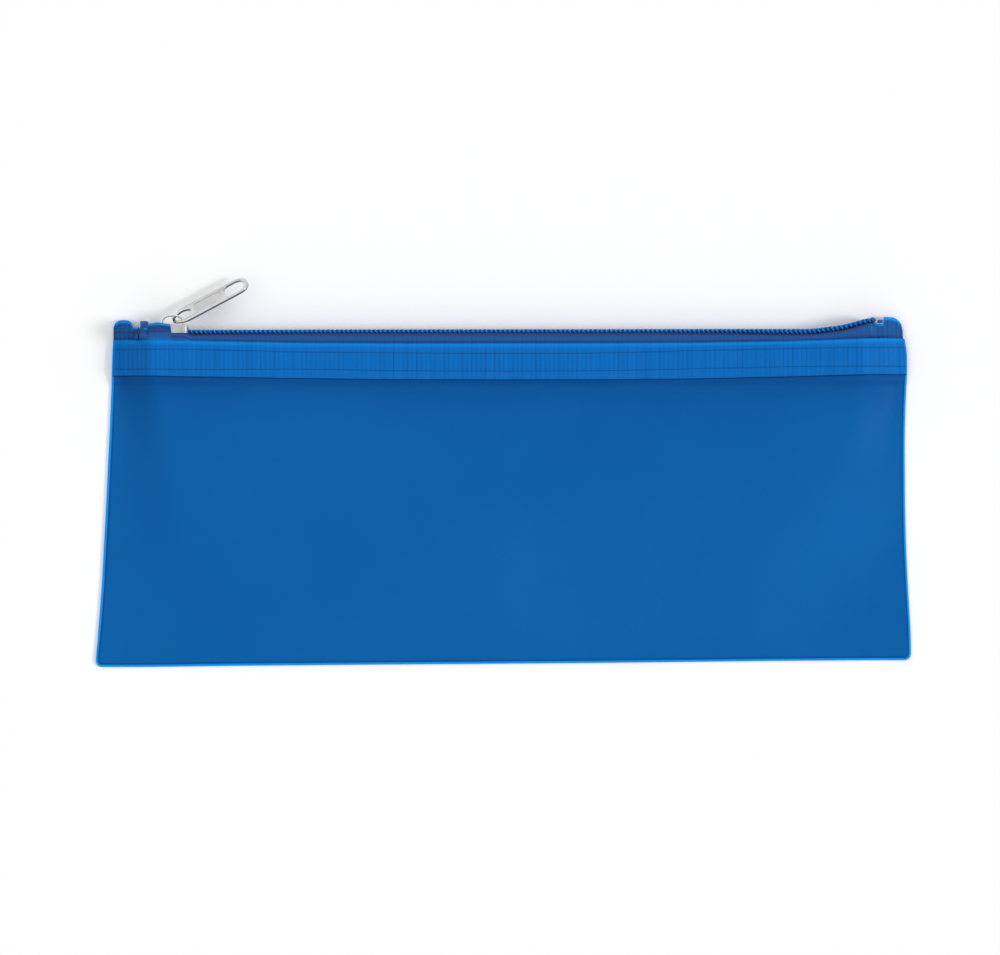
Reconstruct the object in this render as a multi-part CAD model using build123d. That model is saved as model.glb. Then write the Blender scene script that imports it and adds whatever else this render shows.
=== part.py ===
from build123d import *
import math
import os

os.makedirs("parts", exist_ok=True)

# Flat zippered deposit pouch, lying on its back sheet.  Millimetres.
# X runs along the zipper, +Y points from the bottom weld to the zipper,
# +Z is up.  The origin is on the resting face, at the middle of the pouch.

# ---- driving dimensions ------------------------------------------------
SHEET_T = 0.40            # vinyl sheet thickness
TAPE_T = 0.50             # woven zipper tape thickness
FIT = 0.02                # gap between a tape and the sheet it is welded to
BOTTOM_Y_LEFT = -57.2     # bottom weld, left end
BOTTOM_Y_RIGHT = -55.1    # bottom weld, right end
SHEET_TOP_Y = 48.0        # top edge of both sheets
WELD_W = 0.8              # width of the perimeter weld
CORNER_R = 2.2            # bottom corner radius
MOUTH_H = 8.6             # clear height between the sheets at the mouth
TAPE_LOW_Y = 37.0         # lower edge of the tape band
CHAIN_Z = 5.4             # height of the chain's centre line
CHAIN_HALF = 2.8          # half width of the closed chain
COIL_LOW_Y = 51.6         # coil underside, on the tape
COIL_TOP_Y = 53.4         # coil outer side
COIL_PITCH = 1.5          # pitch of the coil's loops
TOOTH_W = 0.66            # width of one loop's head
TOOTH_REACH = 0.45        # how far a head passes the centre line
SPLIT = 1.25              # how far the wedge pushes each row aside
CHAIN_X0 = -115.3         # left end of the coil
CHAIN_BEND1_X = 101.0     # where the chain starts to rise
CHAIN_BEND2_X = 110.5     # where it rises more steeply
CHAIN_X1 = 119.6          # right end of the coil
RISE1_DEG = 6.0
RISE2_DEG = 16.0
SLIDER_X = -107.6         # slider centre at rest
SLIDER_L = 9.6            # slider length
SHOULDER_HALF = 4.75      # slider half width at the shoulders
THROAT_HALF = 3.55        # slider half width at the tail
PLATE_T = 0.90            # slider plate thickness
TOP_PLATE_Y = 53.60       # inner face of the top plate
LOW_PLATE_Y = 50.85       # inner face of the lower plate
CROWN_IN_L = 3.25         # inner half length of the crown arch
CROWN_IN_H = 2.60         # inner height of the crown arch
CROWN_T = 0.70            # crown bar thickness
CROWN_W = 1.10            # crown width
PULL_X, PULL_Y = -107.4, 55.8   # pull hinge, through the crown opening
PULL_DEG = 28.0           # pull direction from +X at rest
PULL_TWIST = 48.0         # roll of the pull about its own long axis
PULL_L = 27.0             # hinge to tip
PULL_W = 7.0              # pull width
PULL_T = 1.0              # pull thickness at its rim
EYE_T = 0.70              # pull thickness round its eye


def smooth(t):
    t = max(0.0, min(1.0, t))
    return t * t * (3.0 - 2.0 * t)


def table(points, v):
    if v <= points[0][0]:
        return points[0][1]
    for (a, p), (b, q) in zip(points, points[1:]):
        if v <= b:
            return p + (q - p) * (v - a) / (b - a)
    return points[-1][1]


# Side welds: they lean and bow a little.
LEFT_EDGE = [(-57.2, -133.2), (-50, -132.0), (-30, -130.9), (-10, -129.9),
             (10, -129.2), (30, -128.6), (45, -127.6), (48, -127.4)]
RIGHT_EDGE = [(-55.1, 133.2), (-50, 133.0), (-30, 132.4), (-5, 131.4),
              (20, 131.4), (38, 132.0), (44, 131.9), (48, 131.2)]


def bottom_y(x):
    return BOTTOM_Y_LEFT + (BOTTOM_Y_RIGHT - BOTTOM_Y_LEFT) * (x + 133.0) / 266.0


def base_z(y):
    # The back sheet steps up over its tape band.
    return (TAPE_T + FIT) * smooth((y - 34.6) / 2.0)


def lift(x, y):
    # Clear height between the two sheets.
    t = max(0.0, min(1.0, (y + 56.0) / 96.0))
    g = 0.60 * t + 0.40 * t ** 3
    left = table(LEFT_EDGE, y) + WELD_W
    right = table(RIGHT_EDGE, y) - WELD_W
    near = 12.5 + 27.5 * (1.0 - t)
    s = smooth((x - left - 0.8 * t) / near) * smooth((right - x) / (near + 2.0))
    return MOUTH_H * g * s


def triangle_face(a, b, c):
    return Face(Wire.make_polygon([Vector(*a), Vector(*b), Vector(*c)], close=True))


def area2(a, b, c):
    u = [b[i] - a[i] for i in range(3)]
    v = [c[i] - a[i] for i in range(3)]
    w = (u[1] * v[2] - u[2] * v[1], u[2] * v[0] - u[0] * v[2], u[0] * v[1] - u[1] * v[0])
    return math.sqrt(sum(k * k for k in w))


def grid_solid(outer, inner):
    """Closed solid between two equal grids of points, all planar facets."""
    faces = []

    def quad(a, b, c, d):
        for tri in ((a, b, c), (a, c, d)):
            if area2(*tri) > 1e-7:
                faces.append(triangle_face(*tri))

    m, n = len(outer), len(outer[0])
    for i in range(m - 1):
        for j in range(n - 1):
            quad(outer[i][j], outer[i + 1][j], outer[i + 1][j + 1], outer[i][j + 1])
            quad(inner[i][j], inner[i][j + 1], inner[i + 1][j + 1], inner[i + 1][j])
    for i in range(m - 1):
        quad(outer[i][0], inner[i][0], inner[i + 1][0], outer[i + 1][0])
        quad(outer[i][n - 1], outer[i + 1][n - 1], inner[i + 1][n - 1], inner[i][n - 1])
    for j in range(n - 1):
        quad(outer[0][j], outer[0][j + 1], inner[0][j + 1], inner[0][j])
        quad(outer[m - 1][j], inner[m - 1][j], inner[m - 1][j + 1], outer[m - 1][j + 1])
    solid = Solid(Shell(faces))
    if solid.volume < 0:
        solid = Solid(solid.wrapped.Reversed())
    return solid


# ---- vinyl sheets ------------------------------------------------------
def sheet_rows():
    """Rows of (y offset from the bottom weld or y, inset at both ends)."""
    rows = []
    for dy, inset in ((0.0, CORNER_R), (WELD_W, 0.62), (CORNER_R, 0.0)):
        rows.append(("low", dy, inset))
    for y in (-45.0, -30.0, -12.0, 6.0, 22.0, 34.6, 36.6, 42.0, SHEET_TOP_Y):
        rows.append(("abs", y, 0.0))
    return rows


U_STEPS = [0.0, 0.003, 0.022, 0.047, 0.075, 0.11, 0.16, 0.24, 0.34, 0.5, 0.66, 0.76, 0.84, 0.89, 0.925, 0.953, 0.978, 0.997, 1.0]


def sheet_grid(height):
    grid = []
    for kind, value, inset in sheet_rows():
        row = []
        for u in U_STEPS:
            y_mid = value if kind == "abs" else -56.0 + value
            left = table(LEFT_EDGE, y_mid) + inset
            right = table(RIGHT_EDGE, y_mid) - inset
            x = left + u * (right - left)
            y = value if kind == "abs" else bottom_y(x) + value
            edge = u in (0.0, 0.003, 0.997, 1.0) or (kind == "low" and value <= WELD_W)
            row.append((x, y, height(x, y, edge)))
        grid.append(row)
    return grid


back_low = sheet_grid(lambda x, y, e: base_z(y))
back_top = sheet_grid(lambda x, y, e: base_z(y) + SHEET_T)
front_low = sheet_grid(lambda x, y, e: base_z(y) + SHEET_T + (0.0 if e else lift(x, y)))
front_top = sheet_grid(lambda x, y, e: base_z(y) + 2 * SHEET_T + (0.0 if e else lift(x, y)))
back_panel = grid_solid(back_top, back_low)
front_panel = grid_solid(front_top, front_low)


# ---- zipper tapes ------------------------------------------------------
def split(x):
    """How far each row of the chain stands off its closed place."""
    if x >= -106.4:
        return 0.0
    if x >= -109.8:
        return SPLIT * (-106.4 - x) / 3.4
    if x >= -112.6:
        return SPLIT
    return max(0.55, SPLIT - 0.7 * (-112.6 - x) / 5.6)


def rise(x):
    if x <= CHAIN_BEND1_X:
        return 0.0
    one = math.tan(math.radians(RISE1_DEG))
    two = math.tan(math.radians(RISE2_DEG))
    return one * (min(x, CHAIN_BEND2_X) - CHAIN_BEND1_X) + two * max(0.0, min(x, CHAIN_X1) - CHAIN_BEND2_X)


def row_out(x, y):
    """Outer face of the front sheet along one row of its facets."""
    last = len(U_STEPS) - 2
    j = next((k for k in range(last) if _x_at(k + 1, y) >= x), last)
    xa, xb = _x_at(j, y), _x_at(j + 1, y)

    def at(k, xk):
        return base_z(y) + 2 * SHEET_T + (0.0 if k <= 1 or k >= last else lift(xk, y))

    za, zb = at(j, xa), at(j + 1, xb)
    return za + (zb - za) * (x - xa) / (xb - xa)


def sheet_out(x, y):
    """Outer face of the front sheet under its tape."""
    levels = [36.6, 42.0, SHEET_TOP_Y]
    for lo, hi in zip(levels, levels[1:]):
        if y <= hi:
            return row_out(x, lo) + (row_out(x, hi) - row_out(x, lo)) * (y - lo) / (hi - lo)
    return row_out(x, SHEET_TOP_Y)


def _x_at(k, y):
    left, right = table(LEFT_EDGE, y), table(RIGHT_EDGE, y)
    return left + U_STEPS[k] * (right - left)


def slider_near(x):
    """1 beside the slider, where the tape runs through its side slots."""
    return smooth((x + 116.0) / 3.0) * smooth((-97.0 - x) / 5.0)


def tape_path(x, front):
    """Middle line of one tape in the YZ plane, band edge first."""
    sign = 1.0 if front else -1.0
    half = TAPE_T / 2
    if front:
        def z_of(y):
            return sheet_out(x, y) + FIT + half + 0.03
    else:
        def z_of(y):
            return half
    pts = [(TAPE_LOW_Y, z_of(37.0)), (42.0, z_of(42.0)), (47.6, z_of(47.6))]
    open_amount = smooth((x + 125.0) / 6.0) * smooth((127.5 - x) / 6.0)
    near = slider_near(x)
    # where the tape leaves the sheet edge
    fold_z = z_of(47.6) + sign * 0.15 * near if front else half
    edge_y = COIL_LOW_Y - half - 0.01 + rise(x)
    reach_out = CHAIN_HALF + 0.75 + split(x) * (1 - near)
    reach = reach_out * (1 - near) + (SHOULDER_HALF + 0.38) * near
    z_edge = CHAIN_Z + sign * reach
    z_in = CHAIN_Z + sign * (0.95 + split(x))
    # flat tail beyond the ends of the chain
    tail_z = 0.72 if not front else 1.42 + 0.5 * lift(max(-127.0, min(x, 130.5)), 47.6)
    tail_z = max(tail_z, 0.72)
    inner_y = edge_y
    if x < -118.6 or x > 120.0:
        inner_y = table(INNER_EDGE, x)
    w = open_amount
    flat_in = inner_y
    p3 = (48.9 - 0.0 * w, (fold_z if front else half + 0.0))
    p4 = ((edge_y - 1.15) * w + (50.9) * (1 - w), 0)
    z4 = (fold_z * 0.42 + z_edge * 0.58) if front else (half * 0.42 + max(z_edge, half) * 0.58)
    p4 = (p4[0], z4 * w + tail_z * (1 - w))
    p5 = (edge_y * w + 53.0 * (1 - w), max(z_edge, half) * w + tail_z * (1 - w))
    p5 = (min(p5[0], flat_in - 0.25 * (1 - w)), p5[1])
    p6 = (flat_in if w < 0.999 else edge_y, z_in * w + tail_z * (1 - w))
    if near > 0.5:
        p4 = (edge_y - 1.3, p5[1])
    return pts + [p3, p4, p5, p6]


INNER_EDGE = [(-127.5, 54.6), (-126.0, 56.0), (-124.2, 56.2), (-122.0, 56.1), (-121.2, 55.3),
              (-120.9, 53.5), (-118.7, 53.4), (-118.5, 51.34),
              (120.0, 54.8), (124.1, 54.8), (124.3, 57.2), (127.0, 57.1),
              (129.0, 56.0), (130.3, 54.0), (130.6, 51.5)]


def strip_solid(path_of, stations, thick):
    outer, inner = [], []
    for x in stations:
        pts = path_of(x)
        up, low = [], []
        for k, (y, z) in enumerate(pts):
            a = pts[max(0, k - 1)]
            b = pts[min(len(pts) - 1, k + 1)]
            ty, tz = b[0] - a[0], b[1] - a[1]
            size = math.hypot(ty, tz) or 1.0
            ny, nz = -tz / size, ty / size
            up.append((x, y + ny * thick / 2, z + nz * thick / 2))
            low.append((x, y - ny * thick / 2, z - nz * thick / 2))
        outer.append(up)
        inner.append(low)
    return grid_solid(outer, inner)


TAPE_X = [-127.2, -126.0, -124.2, -122.0, -121.2, -120.9, -119.6, -118.4, -117.0, -115.5,
          -114.0, -112.8, -109.0, -106.5, -104.2, -102.4, -100.0, -97.0, -60.0, 0.0, 60.0, 101.0, 106.0, 110.5,
          115.0, 119.6, 121.0, 124.0, 124.3, 127.0, 129.0, 130.3]
TAPE_X = [x for x in TAPE_X if x != -118.4] + [-118.8, -118.4]
for k in range(len(U_STEPS)):
    for y in (36.6, 42.0, SHEET_TOP_Y):
        x = _x_at(k, y)
        if -126.9 < x < 130.0 and all(abs(x - other) > 0.25 for other in TAPE_X):
            TAPE_X.append(round(x, 3))
TAPE_X.sort()
front_zipper_tape = strip_solid(lambda x: tape_path(x, True), TAPE_X, TAPE_T)
back_zipper_tape = strip_solid(lambda x: tape_path(x, False), TAPE_X, TAPE_T)


# ---- coil rows ---------------------------------------------------------
def band_polygon(x0, x1, sign, inner, outer):
    """Plan outline (x, z) of a strip that follows one row."""
    xs = sorted({x0, x1} | {x for x in (-112.6, -109.8, -106.4) if x0 < x < x1})
    near = [(x, CHAIN_Z + sign * (inner + split(x))) for x in xs]
    far = [(x, CHAIN_Z + sign * (outer + split(x))) for x in xs]
    return near + far[::-1]


def prism(points, y0, y1):
    """Extrude a plan outline given as (x, z) from y0 to y1."""
    face = Face(Wire.make_polygon([Vector(x, y0, z) for x, z in points], close=True))
    return Solid.extrude(face, Vector(0, y1 - y0, 0))


def comb(x0, x1, sign, phase):
    """One row: an outer strip and one head per loop."""
    spine_in = 1.9
    first = math.ceil((x0 - phase + 0.4) / COIL_PITCH)
    pts_in = []
    k = first
    marks = [x for x in (-112.6, -109.8, -106.4) if x0 < x < x1]
    while phase + k * COIL_PITCH + 0.4 <= x1:
        xc = phase + k * COIL_PITCH
        s = split(xc)
        a, b = xc - TOOTH_W / 2, xc + TOOTH_W / 2
        pts_in.append((a, CHAIN_Z + sign * (spine_in + split(a))))
        pts_in.append((a, CHAIN_Z + sign * (0.0 + s)))
        pts_in.append((a + 0.15, CHAIN_Z + sign * (-TOOTH_REACH + s)))
        pts_in.append((b - 0.15, CHAIN_Z + sign * (-TOOTH_REACH + s)))
        pts_in.append((b, CHAIN_Z + sign * (0.0 + s)))
        pts_in.append((b, CHAIN_Z + sign * (spine_in + split(b))))
        k += 1
    start = (x0, CHAIN_Z + sign * (spine_in + split(x0)))
    stop = (x1, CHAIN_Z + sign * (spine_in + split(x1)))
    xs = sorted([x0, x1] + marks, reverse=True)
    far = [(x, CHAIN_Z + sign * (CHAIN_HALF + split(x))) for x in xs]
    return prism([start] + pts_in + [stop] + far, COIL_LOW_Y, COIL_TOP_Y)


def bend(solid, x_from, y_from, degrees):
    return solid.rotate(Axis((x_from, y_from, 0), (0, 0, 1)), degrees)


def along_chain(make):
    """The straight run and the two rising runs of anything on the chain."""
    one = make(CHAIN_X0, CHAIN_BEND1_X)
    len1 = (CHAIN_BEND2_X - CHAIN_BEND1_X) / math.cos(math.radians(RISE1_DEG))
    len2 = (CHAIN_X1 - CHAIN_BEND2_X) / math.cos(math.radians(RISE2_DEG))
    two = bend(make(CHAIN_BEND1_X - 0.12, CHAIN_BEND1_X + len1 + 0.10), CHAIN_BEND1_X, COIL_LOW_Y, RISE1_DEG)
    three = make(CHAIN_BEND1_X - 0.12, CHAIN_BEND1_X + len2)
    three = bend(three, CHAIN_BEND1_X, COIL_LOW_Y, RISE2_DEG)
    three = three.translate(Vector(CHAIN_BEND2_X - CHAIN_BEND1_X, rise(CHAIN_BEND2_X), 0))
    return one + two + three


def one_solid(shape):
    solids = shape.solids()
    return solids[0] if len(solids) == 1 else Compound(solids)


rows = {}
for name, sign, phase in (("front", 1.0, 0.0), ("back", -1.0, COIL_PITCH / 2)):
    coil = along_chain(lambda a, b: comb(a, b, sign, phase) - prism(band_polygon(a, b, sign, 0.55, 2.35), 52.15, 52.85))
    cord = along_chain(lambda a, b: prism(band_polygon(a, b, sign, 0.60, 2.30), 52.20, 52.80))
    thread = along_chain(lambda a, b: prism(band_polygon(a, b, sign, 1.15, 1.95), COIL_TOP_Y + 0.005, COIL_TOP_Y + 0.11))
    rows[name] = (one_solid(coil), one_solid(cord), one_solid(thread))

# ---- end stops ---------------------------------------------------------
def top_stop(sign):
    # Moulded block on the tape edge, in the way of the slider's shoulder.
    z_in = CHAIN_Z + sign * 0.75
    z_out = CHAIN_Z + sign * 4.25
    body = Box(2.5, 3.9, abs(z_out - z_in))
    body = fillet(body.edges().filter_by(Axis.Z).sort_by(Axis.Y)[-2:], 0.45)
    return Pos(-116.85, 51.72 + 3.9 / 2, (z_in + z_out) / 2) * body


front_top_stop = top_stop(1.0)
back_top_stop = top_stop(-1.0)
# One block joins both rows past the right end of the coil.
bottom_stop = Pos(122.7, 55.65, CHAIN_Z - 0.6) * fillet(Box(1.4, 0.9, 5.6).edges().filter_by(Axis.X), 0.3)

# ---- slider ------------------------------------------------------------
def slider_plan(grow):
    a, b = SHOULDER_HALF + grow, THROAT_HALF + grow
    h = SLIDER_L / 2
    return [(-h, a - 1.3), (-h + 0.7, a - 0.25), (-h + 1.7, a), (-h + 2.6, a), (1.2, b), (h - 0.5, b), (h, b - 0.5)]


def plan_prism(half, y0, y1):
    pts = [(SLIDER_X + x, CHAIN_Z + z) for x, z in half] + [(SLIDER_X + x, CHAIN_Z - z) for x, z in half[::-1]]
    return prism(pts, y0, y1)


def flanges(y0, y1):
    """Side walls along both edges of a plate."""
    wall = plan_prism(slider_plan(0.0), y0, y1)
    room = [(x, z) for x, z in slider_plan(-0.58)]
    room = [(-SLIDER_L, room[2][1])] + room[2:5] + [(SLIDER_L, room[5][1])]
    return wall - plan_prism(room, y0 - 0.01, y1 + 0.01)


top_plate = plan_prism(slider_plan(0.0), TOP_PLATE_Y, TOP_PLATE_Y + PLATE_T)
low_plate = plan_prism(slider_plan(0.0), LOW_PLATE_Y - PLATE_T, LOW_PLATE_Y)
top_flange = flanges(COIL_LOW_Y + 0.12, TOP_PLATE_Y)
wedge_half = [(-SLIDER_L / 2 + 0.25, 0.42), (-SLIDER_L / 2 + 1.0, 0.66), (-SLIDER_L / 2 + 2.0, 0.62), (-SLIDER_L / 2 + 3.4, 0.12)]
wedge = plan_prism(wedge_half, LOW_PLATE_Y, TOP_PLATE_Y)
slider_body = top_plate + low_plate + top_flange + wedge
slider_body = one_solid(slider_body)

TOP_Y = TOP_PLATE_Y + PLATE_T


def arch_plan(a, b, flat=0.0):
    pts = []
    for k in range(0, 13):
        ang = math.pi * k / 12
        c, s = math.cos(ang), math.sin(ang)
        # a squarish arch
        x = a * math.copysign(abs(c) ** 0.75, c)
        y = b * abs(s) ** 0.75
        pts.append((SLIDER_X - 0.2 + x, TOP_Y + y))
    return pts


def arch_solid(a, b, width):
    pts = arch_plan(a, b)
    face = Face(Wire.make_polygon([Vector(x, y, CHAIN_Z - width / 2) for x, y in pts], close=True))
    return Solid.extrude(face, Vector(0, 0, width))


slider_crown = arch_solid(CROWN_IN_L + CROWN_T, CROWN_IN_H + CROWN_T, CROWN_W) - arch_solid(CROWN_IN_L, CROWN_IN_H, CROWN_W + 1)
slider_crown = one_solid(slider_crown)

# ---- pull tab ----------------------------------------------------------
th, tw = math.radians(PULL_DEG), math.radians(PULL_TWIST)
a_dir = Vector(math.cos(th), math.sin(th), 0)
u_dir = Vector(-math.sin(th), math.cos(th), 0)
n_dir = u_dir * math.sin(tw) + Vector(0, 0, math.cos(tw))
pull_plane = Plane(origin=(PULL_X, PULL_Y, CHAIN_Z), x_dir=a_dir, z_dir=n_dir)


def flat_piece(half, z0, z1):
    """Symmetric outline from (x, half width) pairs, between two heights."""
    pts = [(x, y) for x, y in half] + [(x, -y) for x, y in half[::-1]]
    face = Face(Wire.make_polygon([Vector(x, y, z0) for x, y in pts], close=True))
    return Solid.extrude(face, Vector(0, 0, z1 - z0))


HALF = PULL_W / 2
plate_outline = [(5.0, HALF), (PULL_L - 2.2, HALF), (PULL_L - 0.8, HALF - 0.5), (PULL_L, HALF - 1.9)]
root_outline = [(-0.40, 1.15), (0.0, 1.55), (1.6, 2.45), (3.4, 3.3), (5.2, HALF)]
root = flat_piece(root_outline, -EYE_T / 2, EYE_T / 2)
plate = flat_piece([(4.6, 3.35)] + plate_outline, -PULL_T / 2, PULL_T / 2)
eye = flat_piece([(0.42, 0.95), (1.8, 1.55), (3.4, 1.95), (5.0, 1.6), (6.3, 0.7)], -3, 3)
panel = flat_piece([(8.2, 2.3), (16.6, 2.3), (17.4, 1.7)], PULL_T / 2 - 0.22, 3)
slot_hole = flat_piece([(18.6, 0.9), (19.4, 2.0), (20.6, 2.4), (22.8, 2.4), (24.2, 2.0), (25.2, 0.9)], -3, 3)
pull_flat = root + plate - eye - panel - slot_hole
pull_tab = one_solid(pull_flat).moved(pull_plane.location)

nodes = {
    "front_panel": front_panel,
    "back_panel": back_panel,
    "front_zipper_tape": front_zipper_tape,
    "back_zipper_tape": back_zipper_tape,
    "front_coil": rows["front"][0],
    "back_coil": rows["back"][0],
    "front_coil_cord": rows["front"][1],
    "back_coil_cord": rows["back"][1],
    "front_coil_stitching": rows["front"][2],
    "back_coil_stitching": rows["back"][2],
    "front_top_stop": front_top_stop,
    "back_top_stop": back_top_stop,
    "bottom_stop": bottom_stop,
    "slider_body": slider_body,
    "slider_crown": slider_crown,
    "pull_tab": pull_tab,
}

for name, shape in nodes.items():
    export_step(shape, "parts/" + name + ".step")
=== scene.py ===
import math

import bmesh
import bpy
import numpy as np
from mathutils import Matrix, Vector


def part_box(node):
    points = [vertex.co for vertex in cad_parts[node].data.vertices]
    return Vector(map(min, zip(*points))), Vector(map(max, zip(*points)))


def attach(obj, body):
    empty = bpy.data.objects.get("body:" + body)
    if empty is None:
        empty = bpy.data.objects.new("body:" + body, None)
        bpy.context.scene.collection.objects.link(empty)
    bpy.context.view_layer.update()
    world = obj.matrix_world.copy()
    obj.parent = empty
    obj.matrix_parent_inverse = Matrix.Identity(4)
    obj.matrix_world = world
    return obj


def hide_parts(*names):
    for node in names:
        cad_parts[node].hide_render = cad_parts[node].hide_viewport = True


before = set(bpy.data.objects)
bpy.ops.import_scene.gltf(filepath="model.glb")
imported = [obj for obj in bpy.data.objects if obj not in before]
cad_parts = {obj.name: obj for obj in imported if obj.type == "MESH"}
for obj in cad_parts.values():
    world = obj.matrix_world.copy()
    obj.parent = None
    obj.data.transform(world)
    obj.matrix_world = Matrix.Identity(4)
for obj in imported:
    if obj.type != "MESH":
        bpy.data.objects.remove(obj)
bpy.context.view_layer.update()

MM = 0.001
scene = bpy.context.scene

# ------------------------------------------------------------------ shape
# All shape numbers are in millimetres, in the part's own frame.
SHEET_T, TAPE_T = 0.40, 0.50
SHEET_TOP_Y = 48.0
CHAIN_Z, CHAIN_HALF = 5.4, 2.8
COIL_PITCH = 1.5
SPLIT = 1.25
MOUTH_H = 8.6


def smooth(t):
    t = np.clip(t, 0.0, 1.0)
    return t * t * (3.0 - 2.0 * t)


def soft_table(points, sigma=2.5):
    """A table of values read smoothly."""
    xs = np.array([p[0] for p in points], float)
    ys = np.array([p[1] for p in points], float)
    lo, hi = xs[0] - 12, xs[-1] + 12
    grid = np.arange(lo, hi, 0.25)
    vals = np.interp(grid, xs, ys)
    # straight on past both ends
    vals = np.where(grid < xs[0], ys[0] + (grid - xs[0]) * (ys[1] - ys[0]) / (xs[1] - xs[0]), vals)
    vals = np.where(grid > xs[-1], ys[-1] + (grid - xs[-1]) * (ys[-1] - ys[-2]) / (xs[-1] - xs[-2]), vals)
    k = np.arange(-int(4 * sigma / 0.25), int(4 * sigma / 0.25) + 1) * 0.25
    w = np.exp(-0.5 * (k / sigma) ** 2)
    w /= w.sum()
    pad = len(k) // 2
    ext = np.concatenate([np.full(pad, vals[0]), vals, np.full(pad, vals[-1])])
    out = np.convolve(ext, w, mode="valid")
    keep = slice(pad, len(grid) - pad) if len(grid) > 2 * pad + 8 else slice(0, len(grid))
    g, o = grid[keep], out[keep]
    return lambda v: np.interp(v, g, o)


left_edge = soft_table([(-57.2, -133.35), (-53.2, -133.3), (-50, -132.8), (-43.4, -132.2), (-36.9, -131.7), (-30.4, -131.2),
                        (-17.3, -130.5), (-4.2, -129.8), (8.8, -129.2), (18.6, -128.7), (28.4, -128.3), (38.2, -127.9),
                        (44.7, -127.75), (50.3, -127.4)])
right_edge = soft_table([(-55.2, 133.15), (-50, 133.1), (-43.4, 132.9), (-36.9, 132.5), (-30.4, 132.1), (-17.3, 131.5),
                         (-4.2, 131.2), (8.8, 131.1), (18.6, 131.1), (28.4, 131.35), (38.2, 131.8), (44.7, 131.85),
                         (48.0, 131.5), (50.3, 130.9)])
bottom_edge = soft_table([(-133.4, -57.2), (-115, -57.15), (-90, -56.8), (-50, -56.45), (-8, -56.15), (34, -55.8),
                          (64, -55.45), (90, -55.15), (120, -54.95), (133.2, -54.85)], 6)
# lines of the tape band along the bag
band_low = soft_table([(-128, 38.1), (-99, 37.55), (-60, 36.95), (-34, 36.7), (0, 36.6), (32, 36.65), (64, 36.95), (97, 37.7), (113, 38.2), (132, 38.6)], 5)
groove_low = soft_table([(-128, 40.05), (-99, 39.8), (-66, 40.0), (-34, 39.4), (0, 39.3), (32, 39.4), (64, 40.1), (97, 40.8), (132, 41.05)], 5)
groove_top = soft_table([(-128, 46.5), (-99, 46.35), (-66, 45.5), (-34, 45.2), (0, 45.05), (32, 45.15), (64, 46.0), (97, 46.7), (132, 47.2)], 5)
fold_y = soft_table([(-128, 49.75), (-99, 49.1), (-66, 48.45), (-34, 48.3), (32, 48.35), (64, 48.55), (97, 49.05), (113, 49.7), (132, 50.45)], 5)


def base_z(y):
    return (TAPE_T + 0.02) * smooth((y - 34.6) / 2.0)


def lift(x, y):
    """Clear height between the two sheets."""
    t = np.clip((y + 56.0) / 96.0, 0.0, 1.0)
    g = 0.60 * t + 0.40 * t ** 3
    near = 12.5 + 27.5 * (1.0 - t)
    s = smooth((x - left_edge(y) - 0.8 - 0.8 * t) / near) * smooth((right_edge(y) - 0.8 - x) / (near + 2.0))
    return MOUTH_H * g * s


def ripples(x, y):
    """Soft, broad undulations of the empty sheet, strongest under the band."""
    out = np.zeros_like(x)
    for x0, y0, run, lean, width, height in (
        (-104, 32, 34, 0.55, 9.0, -0.30), (-84, 34, 30, 0.45, 8.0, 0.26), (-62, 30, 44, -0.35, 11.0, -0.22),
        (-36, 34, 26, 0.60, 7.5, -0.34), (-20, 30, 36, 0.40, 9.0, 0.28), (-4, 34, 30, -0.50, 8.0, -0.34),
        (14, 28, 40, 0.30, 11.0, 0.22), (27, 34, 26, 0.55, 7.5, -0.36), (47, 30, 34, -0.40, 10.0, 0.24),
        (72, 34, 30, 0.50, 9.0, -0.36), (92, 30, 36, -0.30, 9.0, 0.28), (112, 28, 30, 0.35, 8.0, -0.20),
        (-90, -16, 40, 0.8, 20.0, 0.22), (-30, -22, 46, -0.7, 24.0, -0.22), (36, -14, 44, 0.6, 22.0, 0.24), (92, -20, 40, -0.7, 20.0, -0.20),
    ):
        across = (x - x0) - lean * (y - y0)
        along = (y - y0) / run
        out += height * np.exp(-0.5 * (across / width) ** 2) * np.exp(-0.5 * along ** 2)
    return out


def room(x, y):
    """0 at the welds and 1 well inside the sheet."""
    side = np.minimum(x - left_edge(y), right_edge(y) - x)
    return smooth((side - 1.2) / 16.0) * smooth((y - bottom_edge(x) - 1.2) / 18.0)


def edge_distance(x, y):
    return np.minimum(np.minimum(x - left_edge(y), right_edge(y) - x), y - bottom_edge(x))


def front_out(x, y):
    """Outer face of the front sheet."""
    d = edge_distance(x, y)
    z = base_z(y) + 2 * SHEET_T + lift(x, y)
    z = z + ripples(x, y) * room(x, y) * (1.0 - smooth((y - 33.0) / 4.0))
    # the fused rim: round outer edge, flat bead, then a pressed groove
    rim = smooth(d / 0.30)
    z = z - 0.34 * (1.0 - rim) + 0.07 * np.exp(-((d - 0.42) / 0.22) ** 2) - 0.16 * np.exp(-((d - 0.98) / 0.17) ** 2)
    return z


# ----------------------------------------------------------------- meshes
def new_object(name, verts, faces, material, body, smooth_shade=True):
    mesh = bpy.data.meshes.new(name)
    mesh.from_pydata((np.asarray(verts, float) * MM).tolist(), [], [tuple(f) for f in faces])
    mesh.validate()
    mesh.polygons.foreach_set("use_smooth", [smooth_shade] * len(mesh.polygons))
    mesh.update()
    obj = bpy.data.objects.new(name, mesh)
    scene.collection.objects.link(obj)
    mesh.materials.append(material)
    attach(obj, body)
    return obj


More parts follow.
